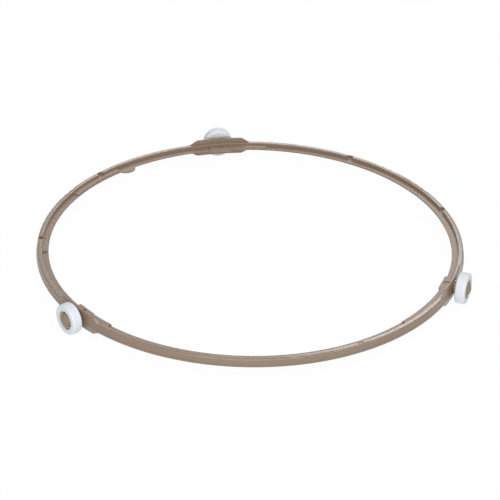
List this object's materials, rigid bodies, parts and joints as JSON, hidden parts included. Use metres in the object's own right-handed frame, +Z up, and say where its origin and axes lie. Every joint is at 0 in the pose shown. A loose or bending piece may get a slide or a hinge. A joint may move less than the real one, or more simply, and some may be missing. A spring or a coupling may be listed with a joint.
{
  "type": "microwave roller ring",
  "caption": "Thin moulded plastic ring with free-turning rollers on radial stubs, which carries a microwave oven's glass turntable.",
  "frame": {"origin": "on the ring's axis, at the level of the oven floor that the rollers stand on", "axes": "+Z up along the ring's axis, +X through the first roller"},
  "size_m": [0.2072, 0.2, 0.0144],
  "materials": {
    "ring_plastic": "semi-gloss moulded, taupe brown",
    "roller_plastic": "smooth white"
  },
  "bodies": {
    "ring": {"ring_frame": "ring_plastic"},
    "roller_1": {"roller_1": "roller_plastic"},
    "roller_2": {"roller_2": "roller_plastic"},
    "roller_3": {"roller_3": "roller_plastic"}
  },
  "joints": [
    {"name": "roller_1_spin", "type": "hinge", "parent": "ring", "child": "roller_1", "pos_m": [0.1035, 0, 0.0072], "axis": [1, 0, 0], "continuous": true},
    {"name": "roller_2_spin", "type": "hinge", "parent": "ring", "child": "roller_2", "pos_m": [-0.05175, 0.08963, 0.0072], "axis": [-0.5, 0.866, 0], "continuous": true},
    {"name": "roller_3_spin", "type": "hinge", "parent": "ring", "child": "roller_3", "pos_m": [-0.05175, -0.08963, 0.0072], "axis": [-0.5, -0.866, 0], "continuous": true}
  ]
}
